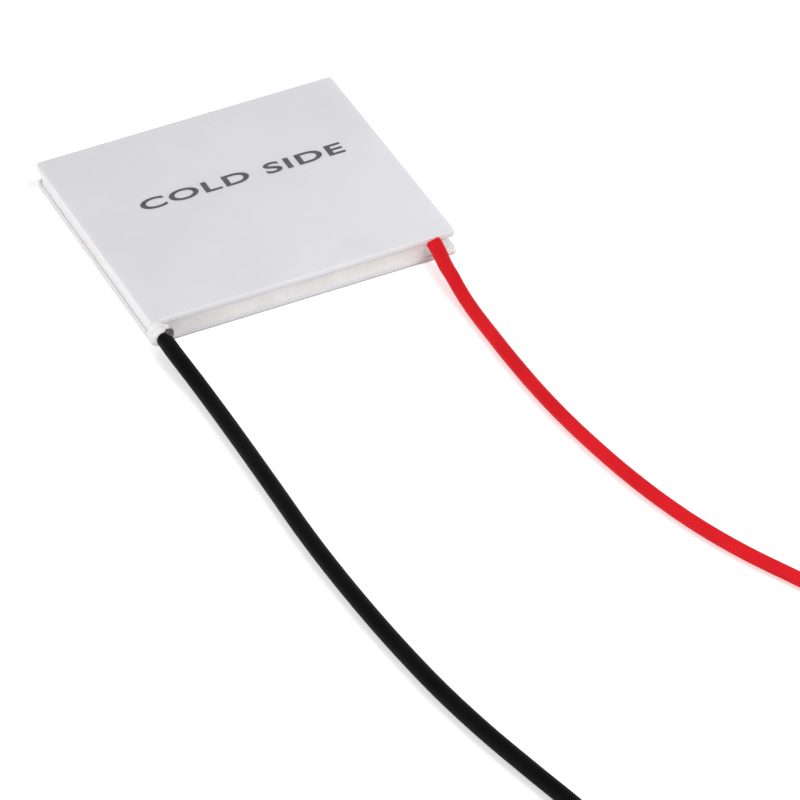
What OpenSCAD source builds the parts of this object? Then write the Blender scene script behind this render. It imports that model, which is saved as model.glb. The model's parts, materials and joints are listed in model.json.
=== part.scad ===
// Thermoelectric cooling module, in millimetres.
//
// Two ceramic plates hold a square grid of semiconductor pellets. Copper tabs on the
// plates' inner faces join the pellets into one series chain, which runs up and down the
// columns of the grid. Its two ends are pads at the front corners, where a black and a
// red lead are soldered on. A silicone bead seals the gap between the plates.
//
// The origin is the middle of the hot plate's outer face. +Z points to the cold side,
// and the leads leave towards -Y, red on the right (+X) and black on the left.

/* [Plates] */
// Side of each square ceramic plate
plate_side = 40; // [40:0.5:44]
// Thickness of each ceramic plate
plate_t = 0.75; // [0.6:0.05:1]
// Rounding of each plate's four corners
plate_corner_r = 0.6; // [0.1:0.1:0.8]

/* [Pellets] */
// Cells along each side of the grid
cells_side = 16; // [4:2:16]
// Distance between the middles of neighbouring cells
pitch = 2.35; // [2.2:0.05:2.35]
// Side of a pellet's square section
pellet_side = 1.4; // [1:0.1:1.5]
// Height of a pellet
pellet_h = 1.1; // [0.9:0.1:1.8]

/* [Copper and solder] */
// Width of the copper tabs
tab_w = 1.6; // [1.5:0.05:1.7]
// Thickness of the copper tabs
tab_t = 0.3; // [0.2:0.05:0.4]
// Thickness of the solder at each end of a pellet
solder_t = 0.05; // [0.02:0.01:0.1]
// How far the two lead pads reach out from the middle of their corner cells
lead_pad_reach = 1.6; // [1:0.05:1.6]

/* [Edge sealant] */
// Distance of the bead's face from the plates' left, right and back edges
seal_recess = 0.7; // [0.5:0.05:0.9]
// Distance of the bead's face from the plates' front edge
seal_recess_front = 0.15; // [0.15:0.05:0.5]
// Depth of the hollow that the bead's face draws into between the plates
meniscus = 0.15; // [0.05:0.05:0.3]
// Side-to-side width of the filling behind each lead
lead_fill_w = 2.4; // [2:0.1:2.8]
// Radius of the silicone drop on the black lead's start
black_drop_r = 1.65; // [1.4:0.05:1.7]
// Radius of the silicone drop on the red lead's start
red_drop_r = 1.3; // [1.2:0.05:1.4]

/* [Leads] */
// Outer diameter of the black lead's insulation
black_d = 2; // [1.7:0.1:2.2]
// Outer diameter of the red lead's insulation
red_d = 1.7; // [1.6:0.1:1.7]
// Diameter of a lead's conductor
conductor_d = 0.8; // [0.7:0.1:0.9]
// Thickness of the solder under a conductor
solder_under = 0.2; // [0.1:0.05:0.25]
// How far a joint's foot spreads on its pad, past the conductor's side
joint_foot = 0.2; // [0.1:0.05:0.2]
// Length of the soldered joint on a pad
joint_l = 2.2; // [1.6:0.1:2.4]
// Straight stretch of insulation where a lead leaves the plates
straight_l = 3; // [2:0.5:4]
// Length over which a lead comes down from its exit to the surface
settle_l = 12; // [10:1:16]
// Length of the bared, tinned end of a lead, its round nose included
tip_l = 6; // [4:0.5:8]
// Side-to-side place of the black conductor
black_x = -18.6; // [-18.6:0.1:-17.6]
// Side-to-side place of the red conductor
red_x = 17.45; // [17.45:0.05:18.5]
// Where the black insulation starts: to the side of its conductor, out from the plates'
// front edge, and above its conductor
black_start = [-0.4, 1.5, 0];
// Where the red insulation starts, in the same way
red_start = [-0.35, 0.05, 0.25];

/* [Hidden] */
// Faces round a true circle
$fn = 48;

half = plate_side / 2;
hot_tab_z = plate_t;
hot_solder_z = hot_tab_z + tab_t;
pellet_z = hot_solder_z + solder_t;
cold_solder_z = pellet_z + pellet_h;
cold_tab_z = cold_solder_z + solder_t;
cold_plate_z = cold_tab_z + tab_t;
gap_h = cold_plate_z - plate_t;
stack_h = cold_plate_z + plate_t;

cell_count = cells_side * cells_side;
first_cell = 0;
last_cell = cell_count - 1;
grid_half = (cells_side - 1) / 2 * pitch + tab_w / 2;
front_row_y = -(cells_side - 1) / 2 * pitch;

conductor_r = conductor_d / 2;
// Solder left beside the conductor at its widest, and radius of the joint's hollow flanks
joint_rim = 0.05;
flank_r = 0.6;
lead_z = hot_solder_z + solder_under + conductor_r;
joint_back_y = front_row_y - tab_w / 2 + joint_l;

// Radius of the hollow in the bead's face, from its chord and its depth
meniscus_r = (gap_h * gap_h / 4 + meniscus * meniscus) / (2 * meniscus);
seal_w = half - seal_recess - grid_half;
seal_w_front = half - seal_recess_front - grid_half;

// Sides of a lead's swept tube, and rings along it
lead_sides = 8;
lead_rings = 30;

// Each lead's way along the surface, seen from above and laid by hand
black_floor = [
  [-18.9, -27.5], [-18.73, -30.5], [-18.59, -33.5], [-18.52, -36.5], [-18.5, -40], [-18.5, -45],
  [-18.53, -51], [-18.58, -58], [-18.64, -65], [-18.5, -73], [-18.1, -82], [-17.45, -91],
  [-16.5, -100], [-15.1, -109], [-13.3, -118], [-11.5, -126.5], [-10.1, -135], [-9.2, -143],
  [-8.8, -150.5], [-8.7, -157.5], [-8.7, -164.7]
];
red_floor = [
  [16.62, -26.3], [16.41, -29.2], [16.33, -32], [16.3, -35], [16.27, -39], [16.26, -44.5],
  [16.42, -51.5], [16.85, -58.4], [17.55, -65], [18.55, -72], [19.9, -79], [21.7, -86],
  [24.1, -93], [27.1, -100], [30.2, -107], [32.8, -114], [34.8, -121.5], [36, -129.5],
  [36.5, -137.5], [36.6, -146], [36.6, -153.5], [36.6, -160.8]
];

// Height of a lead's middle, at a distance out from its start
function ease(t) = let (u = min(max(t, 0), 1)) u * u * (3 - 2 * u);
function lead_height(out, z, r) = z - (z - r) * ease((out - straight_l) / settle_l);

// A whole route: straight out of the exit, then down to the surface and on along it
function lead_exit(x, start) = [x + start.x, -half - start.y, lead_z + start.z];
function lead_route(x, start, d, floor_points) =
  let (exit = lead_exit(x, start))
  [for (p = concat([[exit.x, exit.y], [exit.x, exit.y - straight_l]], floor_points))
    [p.x, p.y, lead_height(exit.y - p.y, exit.z, d / 2)]];
black_route = lead_route(black_x, black_start, black_d, black_floor);
red_route = lead_route(red_x, red_start, red_d, red_floor);

columns = [for (c = [0 : cells_side - 1]) c];
function numbered(name, c) = str(name, c < 9 ? "_0" : "_", c + 1);

// ---- The chain: step i of the way up the first column, down the second, and so on ----

function chain_column(i) = floor(i / cells_side);
function climbs(c) = c % 2 == 0;
function chain_row(i) =
  climbs(chain_column(i)) ? i % cells_side : cells_side - 1 - i % cells_side;
function cell_at(n) = (n - (cells_side - 1) / 2) * pitch;
function cell(i) = [cell_at(chain_column(i)), cell_at(chain_row(i))];

// The first and the last cell hold the leads, and every other cell holds a pellet. Down
// the chain the pellets are p-type and n-type in turn.
pellet_steps = [first_cell + 1 : last_cell - 1];
function is_p(i) = i % 2 == 1;
function turns_after(i) = chain_column(i) != chain_column(i + 1);

// ---- Plates ----

module rounded_square(side, r) {
  inner = side - 2 * r;
  square([side, inner], center = true);
  square([inner, side], center = true);
  for (x = [-inner / 2, inner / 2], y = [-inner / 2, inner / 2])
    translate([x, y]) circle(r);
}

module plate(z) {
  translate([0, 0, z])
    linear_extrude(plate_t) rounded_square(plate_side, plate_corner_r);
}

module hot_plate() {
  color([0.93, 0.93, 0.92]) plate(0);
}

module cold_plate() {
  color([0.9, 0.9, 0.91]) plate(cold_plate_z);
}

// ---- Pellets ----

module pellet(i) {
  translate(concat(cell(i) - [1, 1] * pellet_side / 2, pellet_z))
    cube([pellet_side, pellet_side, pellet_h]);
}

module p_pellets(c) {
  color([0.34, 0.34, 0.37])
    for (i = pellet_steps)
      if (is_p(i) && chain_column(i) == c) pellet(i);
}

module n_pellets(c) {
  color([0.45, 0.45, 0.47])
    for (i = pellet_steps)
      if (!is_p(i) && chain_column(i) == c) pellet(i);
}

// ---- Copper tabs ----

// A tab from cell i to the next cell of the chain
module tab(i, z) {
  a = cell(i);
  b = cell(i + 1);
  low = [min(a.x, b.x), min(a.y, b.y)] - [1, 1] * tab_w / 2;
  high = [max(a.x, b.x), max(a.y, b.y)] + [1, 1] * tab_w / 2;
  translate(concat(low, z)) cube(concat(high - low, tab_t));
}

module hot_tabs() {
  color([0.78, 0.47, 0.3])
    for (i = [first_cell + 2 : 2 : last_cell - 3]) tab(i, hot_tab_z);
}

module cold_tabs() {
  color([0.8, 0.5, 0.33])
    for (i = [first_cell + 1 : 2 : last_cell - 2])
      if (!turns_after(i)) tab(i, cold_tab_z);
}

module cold_turn_tabs() {
  color([0.84, 0.55, 0.36])
    for (i = [first_cell + 1 : 2 : last_cell - 2])
      if (turns_after(i)) tab(i, cold_tab_z);
}

// The chain's end tab, widened outwards under the lead. side is -1 left or 1 right.
module lead_pad(side) {
  x = side * (cells_side - 1) / 2 * pitch;
  inner = x - side * tab_w / 2;
  outer = x + side * lead_pad_reach;
  color([0.78, 0.47, 0.3])
    translate([0, front_row_y - tab_w / 2, hot_tab_z]) {
      translate([min(inner, outer), 0, 0]) cube([abs(outer - inner), tab_w, tab_t]);
      translate([x - tab_w / 2, 0, 0]) cube([tab_w, pitch + tab_w, tab_t]);
    }
}

module black_lead_pad() {
  lead_pad(-1);
}

module red_lead_pad() {
  lead_pad(1);
}

// ---- Solder ----

module solder_layer(z) {
  color([0.72, 0.73, 0.75])
    for (i = pellet_steps)
      translate(concat(cell(i) - [1, 1] * pellet_side / 2, z))
        cube([pellet_side, pellet_side, solder_t]);
}

module hot_solder() {
  solder_layer(hot_solder_z);
}

module cold_solder() {
  solder_layer(cold_solder_z);
}

// Solder round a conductor on its pad: hollow flanks, open above
module lead_joint(x) {
  foot = conductor_r + joint_foot;
  height = lead_z - hot_solder_z;
  color([0.72, 0.73, 0.75])
    translate([x, joint_back_y, hot_solder_z])
      rotate([90, 0, 0])
        linear_extrude(joint_l)
          difference() {
            translate([-foot, 0]) square([2 * foot, height]);
            translate([0, height]) circle(conductor_r);
            for (side = [-1, 1])
              translate([side * (conductor_r + joint_rim + flank_r), height]) circle(flank_r);
          }
}

module black_lead_joint() {
  lead_joint(black_x);
}

module red_lead_joint() {
  lead_joint(red_x);
}

// ---- Sealant ----

// Section of the bead: w deep from its inner face, with a hollow outer face
module bead_section(w) {
  difference() {
    square([w, gap_h]);
    translate([w + meniscus_r - meniscus, gap_h / 2]) circle(meniscus_r, $fn = 96);
  }
}

// A straight bead of length l along +Y, its outer face towards +X
module straight_bead(w, l) {
  translate([0, l, 0]) rotate([90, 0, 0]) linear_extrude(l) bead_section(w);
}

// A quarter turn of bead about its own inner edge, from +X round to +Y
module corner_bead(w) {
  rotate_extrude(angle = 90) bead_section(w);
}

module sealant_ring() {
  // The front corners turn about points that keep both outer faces in line
  front_x = half - seal_recess - seal_w_front;
  translate([0, 0, plate_t]) {
    translate([grid_half, -grid_half, 0]) straight_bead(seal_w, 2 * grid_half);
    translate([-grid_half, grid_half, 0])
      rotate([0, 0, 180]) straight_bead(seal_w, 2 * grid_half);
    translate([grid_half, grid_half, 0])
      rotate([0, 0, 90]) straight_bead(seal_w, 2 * grid_half);
    translate([-front_x, -grid_half, 0])
      rotate([0, 0, -90]) straight_bead(seal_w_front, 2 * front_x);
    translate([grid_half, grid_half, 0]) corner_bead(seal_w);
    translate([-grid_half, grid_half, 0]) rotate([0, 0, 90]) corner_bead(seal_w);
    translate([-front_x, -grid_half, 0]) rotate([0, 0, 180]) corner_bead(seal_w_front);
    translate([front_x, -grid_half, 0]) rotate([0, 0, 270]) corner_bead(seal_w_front);
  }
}

module edge_sealant() {
  color([0.95, 0.95, 0.94])
    difference() {
      sealant_ring();
      black_lead_pad();
      red_lead_pad();
      conductor(black_x, black_start);
      conductor(red_x, red_start);
      black_lead_joint();
      red_lead_joint();
    }
}

// Silicone put on over a lead's start: it fills the gap in front of the bead and
// stands out from the plates' front edge as a round drop
module lead_seal(x, start, d, drop_r) {
  color([0.96, 0.96, 0.95])
    difference() {
      union() {
        translate([x - lead_fill_w / 2, -half, plate_t])
          cube([lead_fill_w, seal_recess_front + 2 * meniscus, gap_h]);
        intersection() {
          translate([x, -half, lead_z + start.z]) sphere(drop_r);
          translate([x - drop_r, -half - drop_r, 0]) cube([2 * drop_r, drop_r, stack_h]);
        }
      }
      sealant_ring();
      conductor(x, start);
      lead_socket(lead_exit(x, start), d);
    }
}

// Room for the insulation in the drop
module lead_socket(exit, d) {
  translate(exit) rotate([90, 0, 0]) cylinder(h = d, r = d / 2);
}

module black_lead_seal() {
  lead_seal(black_x, black_start, black_d, black_drop_r);
}

module red_lead_seal() {
  lead_seal(red_x, red_start, red_d, red_drop_r);
}

// ---- Leads ----

// The bared inner end of a lead, from the back of its joint to the insulation
module conductor(x, start) {
  length = joint_back_y + half + start.y;
  translate([x, joint_back_y, lead_z]) rotate([90, 0, 0]) cylinder(h = length, r = conductor_r);
}

module black_lead_conductor() {
  color([0.8, 0.8, 0.82]) conductor(black_x, black_start);
}

module red_lead_conductor() {
  color([0.8, 0.8, 0.82]) conductor(red_x, red_start);
}

// A smooth curve through a route's points: a Catmull-Rom spline with plain ends
function slope_at(route, k) =
  k == 0 ? route[1] - route[0] :
  k == len(route) - 1 ? route[k] - route[k - 1] :
  (route[k + 1] - route[k - 1]) / 2;
function curve_point(route, k, t) =
  (2 * t^3 - 3 * t^2 + 1) * route[k] + (t^3 - 2 * t^2 + t) * slope_at(route, k) +
  (3 * t^2 - 2 * t^3) * route[k + 1] + (t^3 - t^2) * slope_at(route, k + 1);
function curve_slope(route, k, t) =
  6 * (t^2 - t) * (route[k] - route[k + 1]) +
  (3 * t^2 - 4 * t + 1) * slope_at(route, k) + (3 * t^2 - 2 * t) * slope_at(route, k + 1);
function unit(v) = v / norm(v);

// Ring n of the swept tube, square to the curve
function ring(route, d, n) =
  let (
    s = n / lead_rings * (len(route) - 1),
    k = min(floor(s), len(route) - 2),
    middle = curve_point(route, k, s - k),
    along = unit(curve_slope(route, k, s - k)),
    across = unit(cross(along, [0, 0, 1])),
    up = cross(across, along)
  )
  [for (q = [0 : lead_sides - 1])
    let (a = (q + 0.5) * 360 / lead_sides)
    middle + d / 2 * (cos(a) * across + sin(a) * up)];

module swept_lead(route, d) {
  rings = [for (n = [0 : lead_rings]) each ring(route, d, n)];
  walls = [for (n = [0 : lead_rings - 1], q = [0 : lead_sides - 1])
    let (a = n * lead_sides, b = a + lead_sides, next = (q + 1) % lead_sides)
    [a + q, a + next, b + next, b + q]];
  start = [for (q = [lead_sides - 1 : -1 : 0]) q];
  end = [for (q = [0 : lead_sides - 1]) lead_rings * lead_sides + q];
  polyhedron(rings, concat([start, end], walls), convexity = 6);
}

module black_lead() {
  color([0.07, 0.07, 0.07]) swept_lead(black_route, black_d);
}

module red_lead() {
  color([0.87, 0.13, 0.16]) swept_lead(red_route, red_d);
}

// The bared far end of a lead: a straight tinned length with a round nose
module lead_tip(route) {
  color([0.8, 0.8, 0.82])
    translate(route[len(route) - 1])
      rotate([90, 0, 0]) {
        cylinder(h = tip_l - conductor_r, r = conductor_r);
        translate([0, 0, tip_l - conductor_r]) sphere(conductor_r);
      }
}

module black_lead_tip() {
  lead_tip(black_route);
}

module red_lead_tip() {
  lead_tip(red_route);
}

hot_plate();
cold_plate();
edge_sealant();
hot_tabs();
cold_tabs();
cold_turn_tabs();
hot_solder();
cold_solder();
for (c = columns) p_pellets(c);
for (c = columns) n_pellets(c);
black_lead_pad();
black_lead_joint();
black_lead_conductor();
black_lead_seal();
black_lead();
black_lead_tip();
red_lead_pad();
red_lead_joint();
red_lead_conductor();
red_lead_seal();
red_lead();
red_lead_tip();
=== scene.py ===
"""Looks of a thermoelectric cooling module.

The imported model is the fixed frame. Round it this script builds the ceramic plates with
their scribed and snapped rims, the silicone between them, the two insulated leads with
their stranded ends, the printed mark, and a small pale studio. All sizes are in metres.
"""

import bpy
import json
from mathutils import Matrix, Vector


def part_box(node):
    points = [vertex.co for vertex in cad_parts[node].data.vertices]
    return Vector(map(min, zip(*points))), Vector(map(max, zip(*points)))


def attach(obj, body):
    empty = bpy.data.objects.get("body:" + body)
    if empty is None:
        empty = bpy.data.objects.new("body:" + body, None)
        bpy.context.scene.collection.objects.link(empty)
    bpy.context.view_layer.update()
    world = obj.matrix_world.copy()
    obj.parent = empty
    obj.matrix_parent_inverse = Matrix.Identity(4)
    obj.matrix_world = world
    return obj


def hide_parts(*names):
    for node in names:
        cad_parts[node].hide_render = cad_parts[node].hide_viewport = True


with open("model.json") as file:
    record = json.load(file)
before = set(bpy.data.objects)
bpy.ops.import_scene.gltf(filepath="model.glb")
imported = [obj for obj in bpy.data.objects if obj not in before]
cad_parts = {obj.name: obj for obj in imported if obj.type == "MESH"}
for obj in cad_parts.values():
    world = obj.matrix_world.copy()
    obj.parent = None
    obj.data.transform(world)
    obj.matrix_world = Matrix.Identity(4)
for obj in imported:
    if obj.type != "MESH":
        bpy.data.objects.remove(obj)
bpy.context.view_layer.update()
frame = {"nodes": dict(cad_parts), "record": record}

import json
import logging
import math
from collections.abc import Sequence
from dataclasses import dataclass
from enum import Enum
from functools import cache
from typing import Any

import bmesh
import bpy
import numpy as np
from mathutils import Matrix, Vector, noise

LOG = logging.getLogger("module")
MM = 0.001
ROOT = "root"
FULL_TURN = 2 * math.pi
WHITE = (1.0, 1.0, 1.0, 1.0)
# The band that a noise field mostly keeps to.
NOISE_BAND = (0.3, 0.7)

Colour = tuple[float, float, float, float]
Spot = tuple[float, float, float]
Pair = tuple[float, float]
Material = bpy.types.Material
Node = bpy.types.Node
Object = bpy.types.Object
Socket = bpy.types.NodeSocket
Tree = bpy.types.NodeTree


def srgb(red: int, green: int, blue: int) -> Colour:
    """Turns a colour written in eight-bit steps into the linear one that shaders take.

    Args:
        red: Red, 0 to 255.
        green: Green, 0 to 255.
        blue: Blue, 0 to 255.

    Returns:
        Linear red, green and blue, and an alpha of 1.
    """
    steps = [value / 255 for value in (red, green, blue)]
    linear = [v / 12.92 if v <= 0.04045 else ((v + 0.055) / 1.055) ** 2.4 for v in steps]
    return (linear[0], linear[1], linear[2], 1.0)


# ---------------- node trees


class Weave:
    """Adds nodes to one node tree and joins their sockets."""

    def __init__(self, tree: Tree) -> None:
        """Keeps the tree that the nodes go into."""
        self.tree = tree

    def feed(self, socket: Socket, value: Any) -> None:
        """Links value to a socket if it is one itself, and else sets it there."""
        if isinstance(value, Socket):
            self.tree.links.new(value, socket)
        else:
            socket.default_value = value

    def add(self, kind: str, feeds: dict[str | int, Any] | None = None, **settings: Any) -> Node:
        """Adds one node.

        Args:
            kind: The node's Blender type.
            feeds: Values or sockets for its inputs, by name or index.
            **settings: The node's own properties.

        Returns:
            The new node.
        """
        node = self.tree.nodes.new(kind)
        for name, value in settings.items():
            setattr(node, name, value)
        for key, value in (feeds or {}).items():
            self.feed(node.inputs[key], value)
        return node

    def first(
        self, kind: str, feeds: dict[str | int, Any] | None = None, **settings: Any
    ) -> Socket:
        """Adds one node as add() does and returns its first output."""
        return self.add(kind, feeds, **settings).outputs[0]

    def math(self, operation: str, *values: Any) -> Socket:
        """Adds a Math node on values and returns its result."""
        return self.first("ShaderNodeMath", dict(enumerate(values)), operation=operation)

    def product(self, start: Any, *factors: Any) -> Socket:
        """Multiplies start by each factor in turn and returns the result."""
        for factor in factors:
            start = self.math("MULTIPLY", start, factor)
        return start

    def vector(self, operation: str, *values: Any) -> Socket:
        """Adds a Vector Math node on values and returns its vector."""
        return self.first("ShaderNodeVectorMath", dict(enumerate(values)), operation=operation)

    def scaled(self, vector: Any, factor: Any) -> Socket:
        """Returns vector times the number factor."""
        feeds = {0: vector, "Scale": factor}
        return self.first("ShaderNodeVectorMath", feeds, operation="SCALE")

    def point(self, x: Any, y: Any, z: Any) -> Socket:
        """Joins three numbers into a vector and returns it."""
        return self.first("ShaderNodeCombineXYZ", {0: x, 1: y, 2: z})

    def noise(self, vector: Any, scale: Any, detail: float = 2.0) -> Socket:
        """Returns a noise field of 0 to 1 over vector."""
        feeds = {"Vector": vector, "Scale": scale, "Detail": detail}
        return self.first("ShaderNodeTexNoise", feeds)

    def ramp(self, value: Any, low: Any, high: Any, to_low: Any, to_high: Any) -> Socket:
        """Maps value smoothly from low..high to to_low..to_high and returns the result."""
        feeds = {0: value, 1: low, 2: high, 3: to_low, 4: to_high}
        return self.first("ShaderNodeMapRange", feeds, interpolation_type="SMOOTHSTEP")

    def mix(self, factor: Any, first: Any, second: Any) -> Socket:
        """Mixes two colours and returns the result."""
        feeds = {0: factor, 6: first, 7: second}
        return self.add("ShaderNodeMix", feeds, data_type="RGBA").outputs[2]

    def store(self, geometry: Any, name: str, value: Any, kind: str = "FLOAT") -> Socket:
        """Keeps value on the geometry's points, under a name, and returns the geometry."""
        feeds = {"Geometry": geometry, "Name": name, "Value": value}
        return self.first(
            "GeometryNodeStoreNamedAttribute", feeds, data_type=kind, domain="POINT"
        )

    def read(self, name: str, kind: str = "FLOAT") -> Socket:
        """Returns what the geometry's points keep under a name."""
        node = self.add("GeometryNodeInputNamedAttribute", {"Name": name}, data_type=kind)
        return node.outputs["Attribute"]


def open_group(
    name: str, kind: str, inputs: dict[str, Any], outputs: dict[str, str]
) -> tuple[Weave, dict[str, Socket], Node]:
    """Starts a node group with named inputs and outputs.

    Args:
        name: The group's name.
        kind: GeometryNodeTree or ShaderNodeTree.
        inputs: Each input's first value, or, for one that starts empty, its kind of socket.
        outputs: Each output's kind of socket.

    Returns:
        A weave on the group, its input sockets by name, and its output node.
    """
    tree = bpy.data.node_groups.new(name, kind)
    kinds = {float: "Float", int: "Int", tuple: "Color"}
    for label, value in inputs.items():
        empty = isinstance(value, str)
        socket_type = f"NodeSocket{value if empty else kinds[type(value)]}"
        socket = tree.interface.new_socket(label, in_out="INPUT", socket_type=socket_type)
        if not empty:
            socket.default_value = value
    for label, output in outputs.items():
        tree.interface.new_socket(label, in_out="OUTPUT", socket_type=f"NodeSocket{output}")
    start = tree.nodes.new("NodeGroupInput")
    end = tree.nodes.new("NodeGroupOutput")
    return Weave(tree), {label: start.outputs[label] for label in inputs}, end


def grow(obj: Object, tree: Tree, **values: Any) -> Object:
    """Runs a geometry tree on an object and keeps the result as a plain mesh.

    Args:
        obj: The object that holds the tree's starting geometry.
        tree: The geometry node tree.
        **values: The tree's inputs, with an underscore for each space in a name.

    Returns:
        A new mesh object of the same name. The old one is removed.
    """
    modifier = obj.modifiers.new("shape", "NODES")
    modifier.node_group = tree
    for item in tree.interface.items_tree:
        key = item.name.lower().replace(" ", "_")
        if item.item_type == "SOCKET" and item.in_out == "INPUT" and key in values:
            modifier[item.identifier] = values[key]
    mesh = evaluated(obj)
    name = obj.name
    obj.modifiers.remove(modifier)
    bpy.data.objects.remove(obj)
    mesh.name = name
    return linked(name, mesh)


def linked(name: str, data: Any) -> Object:
    """Makes an object of data, links it to the scene and returns it."""
    obj = bpy.data.objects.new(name, data)
    bpy.context.scene.collection.objects.link(obj)
    return obj


def evaluated(obj: Object) -> bpy.types.Mesh:
    """Returns a plain mesh of an object as its modifiers leave it, with its attributes."""
    graph = bpy.context.evaluated_depsgraph_get()
    return bpy.data.meshes.new_from_object(
        obj.evaluated_get(graph), preserve_all_data_layers=True, depsgraph=graph
    )


def finished(name: str, mesh: bpy.types.Mesh, finish: Material) -> Object:
    """Makes a mesh an object of one material.

    Args:
        name: The object's name.
        mesh: The mesh.
        finish: The material.

    Returns:
        The object.
    """
    mesh.name = name
    mesh.materials.clear()
    mesh.materials.append(finish)
    return linked(name, mesh)


def smooth(obj: Object, angle: float = 40.0) -> None:
    """Shades a mesh smooth, apart from edges sharper than angle degrees."""
    mesh = obj.data
    mesh.shade_smooth()
    mesh.set_sharp_from_angle(angle=math.radians(angle))


def settle(piece: Object, slot: str, *nodes: str) -> None:
    """Puts a finished piece on the module's body and reports it.

    Args:
        piece: The piece.
        slot: Its material slot; not used.
        *nodes: The CAD nodes that it stands for.
    """
    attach(piece, ROOT)
    if nodes:
        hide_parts(*nodes)
    LOG.info("%s: %d faces", piece.name, len(piece.data.polygons))


# ---------------- shared shading effects


@cache
def clouding() -> Tree:
    """Builds a soft change of colour, broad clouds under fine grain.

    Returns:
        A group that puts out Colour and Grain.
    """
    weave, given, end = open_group(
        "clouding",
        "ShaderNodeTree",
        {
            "Vector": "Vector", "Light": WHITE, "Dark": WHITE, "Cloud Scale": 100.0,
            "Grain Scale": 9000.0, "Grain Share": 0.4,
        },
        {"Colour": "Color", "Grain": "Float"},
    )
    clouds = weave.noise(given["Vector"], given["Cloud Scale"], 3.0)
    grain = weave.noise(given["Vector"], given["Grain Scale"], 4.0)
    keep = weave.math("SUBTRACT", 1.0, given["Grain Share"])
    share = weave.math(
        "ADD", weave.product(clouds, keep), weave.product(grain, given["Grain Share"])
    )
    factor = weave.ramp(share, *NOISE_BAND, 0.0, 1.0)
    weave.feed(end.inputs["Colour"], weave.mix(factor, given["Dark"], given["Light"]))
    weave.feed(end.inputs["Grain"], grain)
    return weave.tree


@cache
def specks() -> Tree:
    """Builds sparse small specks, such as pores and dust.

    Returns:
        A group that puts out a Mask, 1 in a speck.
    """
    weave, given, end = open_group(
        "specks",
        "ShaderNodeTree",
        {"Vector": "Vector", "Scale": 1500.0, "Size": 0.12, "Share": 0.1},
        {"Mask": "Float"},
    )
    feeds = {"Vector": given["Vector"], "Scale": given["Scale"]}
    cells = weave.add("ShaderNodeTexVoronoi", feeds)
    near = weave.math("LESS_THAN", cells.outputs["Distance"], given["Size"])
    pick = weave.first("ShaderNodeSeparateColor", {0: cells.outputs["Color"]})
    chosen = weave.math("LESS_THAN", pick, given["Share"])
    weave.feed(end.inputs["Mask"], weave.product(near, chosen))
    return weave.tree


class Shading:
    """One material in the making: its weave, its Principled shader and its coordinates."""

    def __init__(self, name: str, **constants: Any) -> None:
        """Starts a material.

        Args:
            name: The material's name.
            **constants: Values of the Principled shader that are the same all over.
        """
        self.material = bpy.data.materials.new(name)
        self.material.use_nodes = True
        self.weave = Weave(self.material.node_tree)
        self.shader = self.material.node_tree.nodes["Principled BSDF"]
        for key, value in constants.items():
            self.shader.inputs[key.replace("_", " ")].default_value = value
        self.place = self.weave.add("ShaderNodeTexCoord").outputs["Object"]

    def effect(self, group: Tree, **feeds: Any) -> Node:
        """Places a shared effect.

        Args:
            group: The effect's node group.
            **feeds: Values or sockets for its inputs, with an underscore for each space.

        Returns:
            The node that stands for the group.
        """
        node = self.weave.add("ShaderNodeGroup", node_tree=group)
        self.weave.feed(node.inputs["Vector"], self.place)
        for key, value in feeds.items():
            self.weave.feed(node.inputs[key.replace("_", " ").title()], value)
        return node

    def set(self, key: str, value: Any) -> None:
        """Feeds a value to one input of the Principled shader."""
        self.weave.feed(self.shader.inputs[key], value)

    def bump(self, height: Any, distance: float, strength: float = 1.0) -> None:
        """Gives the surface relief.

        Args:
            height: Height field of about 0 to 1.
            distance: What a height of 1 stands for.
            strength: Share of the effect.
        """
        feeds = {"Height": height, "Distance": distance, "Strength": strength}
        self.set("Normal", self.weave.add("ShaderNodeBump", feeds).outputs["Normal"])


# ---------------- finishes


@dataclass(frozen=True)
class Finish:
    """A surface that clouds softly between two tones and has a fine grain."""

    name: str
    light: Colour
    dark: Colour
    cloud_scale: float
    grain_scale: float
    grain_share: float
    roughness: float
    spread: float
    relief: float
    relief_share: float

    def start(self, **constants: Any) -> tuple[Shading, Socket, Socket]:
        """Starts the material.

        Args:
            **constants: Values of the Principled shader that are the same all over.

        Returns:
            The shading, its clouded colour and its grain.
        """
        look = Shading(self.name, **constants)
        body = look.effect(
            clouding(), light=self.light, dark=self.dark, cloud_scale=self.cloud_scale,
            grain_scale=self.grain_scale, grain_share=self.grain_share,
        )
        return look, body.outputs["Colour"], body.outputs["Grain"]

    def end(self, look: Shading, colour: Socket, field: Socket) -> Material:
        """Gives the material its colour, roughness and relief.

        Args:
            look: The shading.
            colour: Its colour.
            field: The noise field that the roughness and the relief follow.

        Returns:
            The material.
        """
        look.set("Base Color", colour)
        roughest = self.roughness + self.spread
        look.set("Roughness", look.weave.ramp(field, *NOISE_BAND, self.roughness, roughest))
        if self.relief:
            look.bump(field, self.relief, self.relief_share)
        return look.material


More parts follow.
